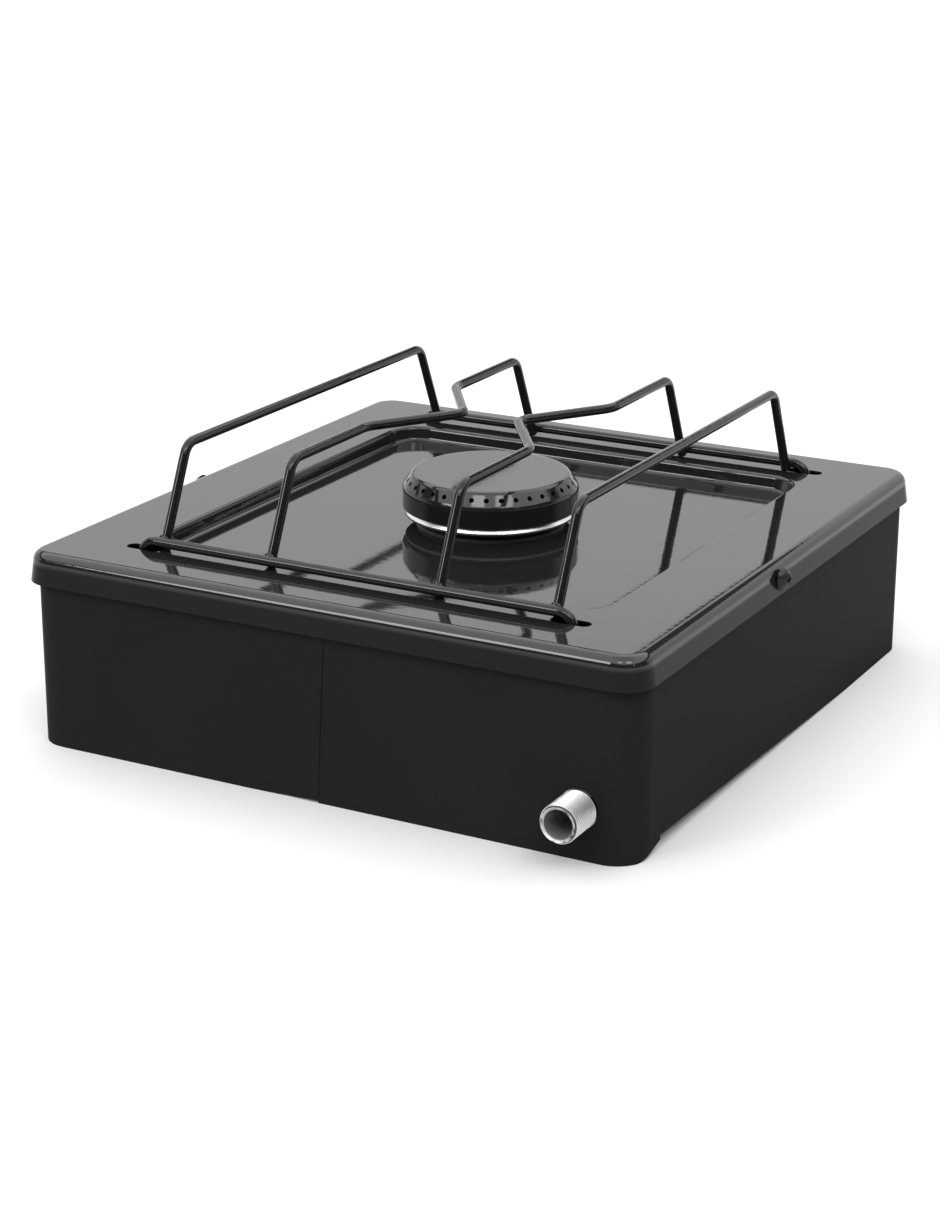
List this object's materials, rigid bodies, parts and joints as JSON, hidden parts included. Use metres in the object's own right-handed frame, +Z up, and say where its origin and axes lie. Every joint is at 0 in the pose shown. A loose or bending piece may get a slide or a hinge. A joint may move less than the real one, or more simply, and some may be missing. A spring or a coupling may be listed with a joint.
{
  "type": "camping stove",
  "caption": "Free-standing gas camping stove with an enamelled sunk hob, a lift-off wire pan support, a ported burner cap and a push-and-turn tap.",
  "frame": {"origin": "centre of the footprint, at the height of the surface that the case stands on", "axes": "+Z up, -Y towards the front with the knob, +Y towards the rear with the gas inlet, +X to the right seen from the front"},
  "size_m": [0.305, 0.3476, 0.1334],
  "materials": {
    "hob_enamel": "glossy vitreous enamel on pressed steel",
    "case_paint": "satin-gloss black enamel on sheet steel",
    "cap_enamel": "glossy black enamel",
    "wire_enamel": "glossy black enamel on steel wire",
    "screw_black": "black finished steel",
    "galvanised": "bright zinc plating on turned steel",
    "zinc_steel": "zinc plated steel",
    "cast_alloy": "machined cast aluminium",
    "brass": "turned brass",
    "dial": "black enamel with pale marks",
    "knob_plastic": "black thermoset plastic"
  },
  "bodies": {
    "stove": {"hob_top": "hob_enamel", "case_wall": "case_paint", "burner_body": "cast_alloy", "burner_nut": "zinc_steel", "mixing_tube": "cast_alloy", "gas_inlet": "galvanised", "inlet_bracket": "zinc_steel", "gas_pipe": "zinc_steel", "pipe_nuts": "brass", "tap_body": "brass", "tap_screws": "zinc_steel", "injector": "brass", "dial_plate": "dial", "hob_screws": "screw_black", "hob_nuts": "zinc_steel"},
    "plug": {"tap_plug": "brass"},
    "knob": {"spindle": "zinc_steel", "knob": "knob_plastic"},
    "cap": {"burner_cap": "cap_enamel"},
    "support": {"rear_bar": "wire_enamel", "front_bar": "wire_enamel", "outer_wire_left": "wire_enamel", "outer_wire_right": "wire_enamel", "inner_wire_left": "wire_enamel", "inner_wire_right": "wire_enamel"}
  },
  "joints": [
    {"name": "tap_turn", "type": "hinge", "parent": "stove", "child": "plug", "pos_m": [0, -0.13, 0.04], "axis": [0, -1, 0], "range_deg": [0, 210]},
    {"name": "knob_push", "type": "slide", "parent": "plug", "child": "knob", "axis": [0, 1, 0], "range_m": [0, 0.003], "stiffness_N_per_m": 1000, "springref_m": -0.003},
    {"name": "cap_lift", "type": "slide", "parent": "stove", "child": "cap", "axis": [0, 0, 1], "range_m": [0, 0.02]},
    {"name": "support_lift", "type": "slide", "parent": "stove", "child": "support", "axis": [0, 0, 1], "range_m": [0, 0.06]}
  ]
}
